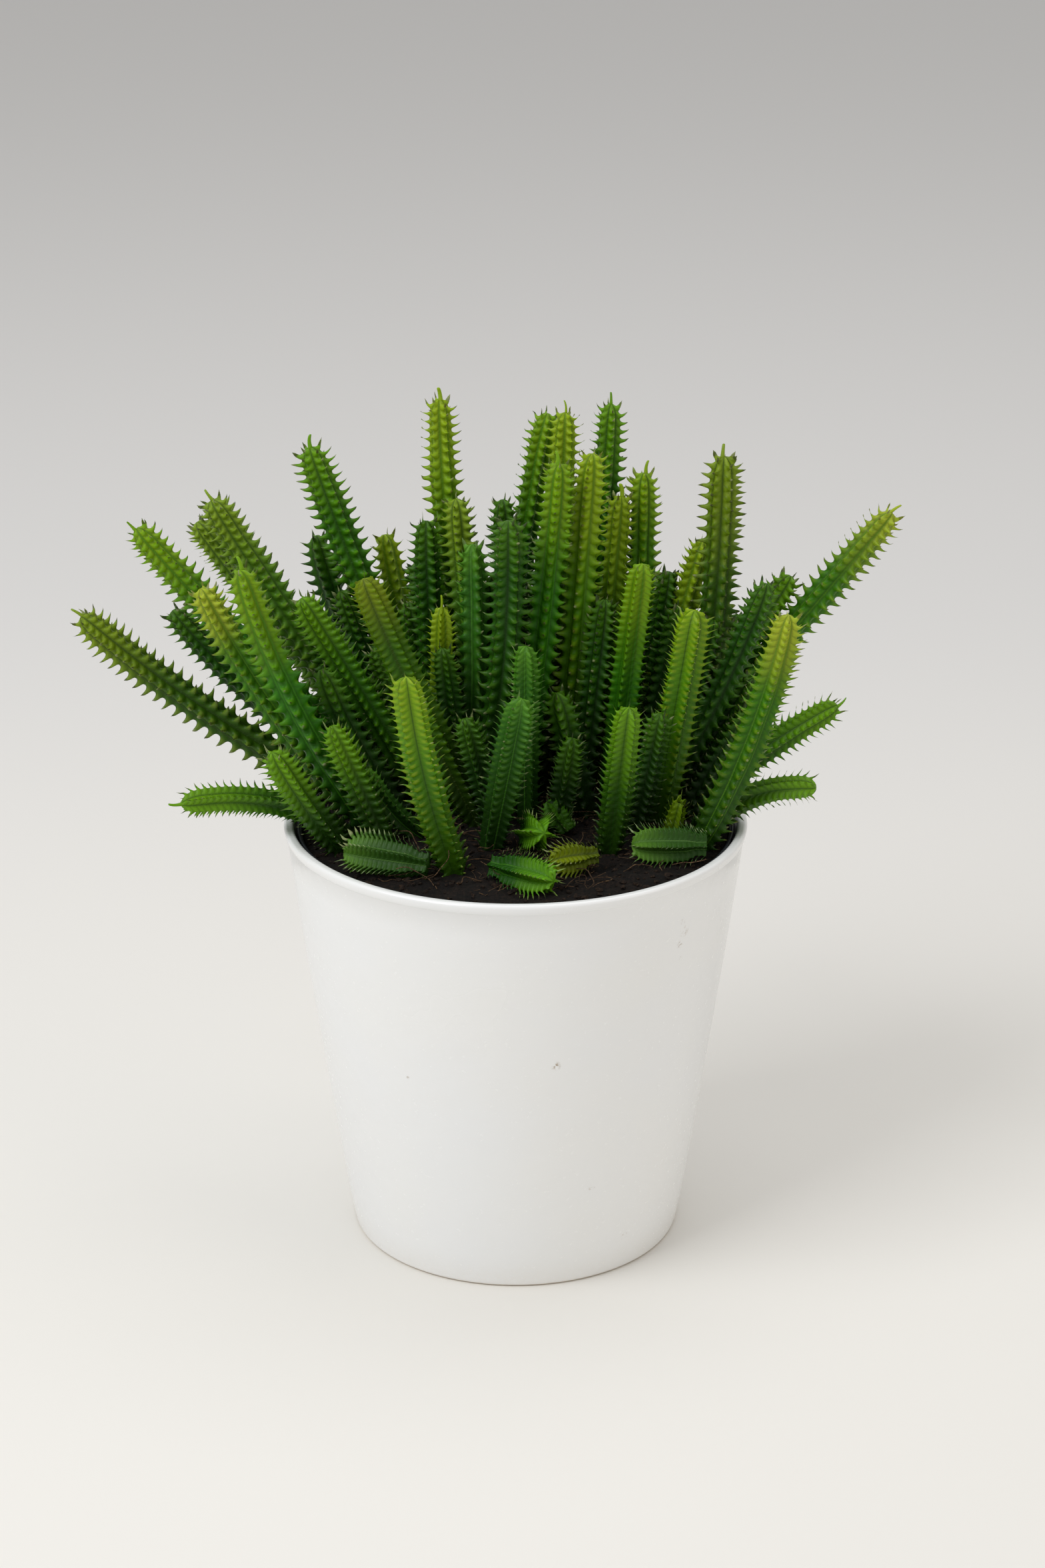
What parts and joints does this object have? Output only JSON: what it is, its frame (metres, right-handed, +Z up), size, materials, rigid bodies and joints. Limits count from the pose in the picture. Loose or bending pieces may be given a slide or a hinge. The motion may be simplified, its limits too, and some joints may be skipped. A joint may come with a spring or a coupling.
{
  "type": "potted stem succulent",
  "caption": "Clump of ribbed finger-like succulent stems with rows of soft teeth, growing in peat in a nursery pot inside a plain white tapered cover pot.",
  "frame": {"origin": "middle of the cover pot's foot, on the surface that it stands on", "axes": "+Z up along the pots' axis; the clump's front, with the lying shoots, faces -Y; the longest stems lean to -X and +X"},
  "size_m": [0.2539, 0.1659, 0.2583],
  "materials": {
    "white_glaze": "satin gloss white",
    "black_plastic": "thin moulded nursery pot, satin",
    "peat": "loose dark peat with light roots",
    "stem_skin": "living succulent skin, waxy, from dark green at the foot to yellow-green at the crown",
    "young_shoot": "young succulent skin, fresh green with fine pale teeth"
  },
  "bodies": {
    "root": {"cover_pot": "white_glaze", "nursery_pot": "black_plastic", "soil": "peat", "stem_01": "stem_skin", "stem_02": "stem_skin", "stem_03": "stem_skin", "stem_04": "stem_skin", "stem_05": "stem_skin", "stem_06": "stem_skin", "stem_07": "stem_skin", "stem_08": "stem_skin", "stem_09": "stem_skin", "stem_10": "stem_skin", "stem_11": "stem_skin", "stem_12": "stem_skin", "stem_13": "stem_skin", "stem_14": "stem_skin", "stem_15": "stem_skin", "stem_16": "stem_skin", "stem_17": "stem_skin", "stem_18": "stem_skin", "stem_19": "stem_skin", "stem_20": "stem_skin", "stem_21": "stem_skin", "stem_22": "stem_skin", "stem_23": "stem_skin", "stem_24": "stem_skin", "stem_25": "stem_skin", "stem_26": "stem_skin", "stem_27": "stem_skin", "stem_28": "stem_skin", "stem_29": "stem_skin", "stem_30": "stem_skin", "stem_31": "stem_skin", "stem_32": "stem_skin", "stem_33": "stem_skin", "stem_34": "stem_skin", "stem_35": "stem_skin", "stem_36": "stem_skin", "stem_37": "stem_skin", "stem_38": "stem_skin", "stem_39": "stem_skin", "stem_40": "stem_skin", "stem_41": "stem_skin", "stem_42": "stem_skin", "stem_43": "stem_skin", "stem_44": "stem_skin", "stem_45": "stem_skin", "stem_46": "stem_skin", "stem_47": "stem_skin", "stem_48": "stem_skin", "shoot_1": "young_shoot", "shoot_2": "young_shoot", "shoot_3": "young_shoot", "shoot_4": "young_shoot", "shoot_5": "young_shoot", "shoot_6": "young_shoot"}
  },
  "joints": []
}
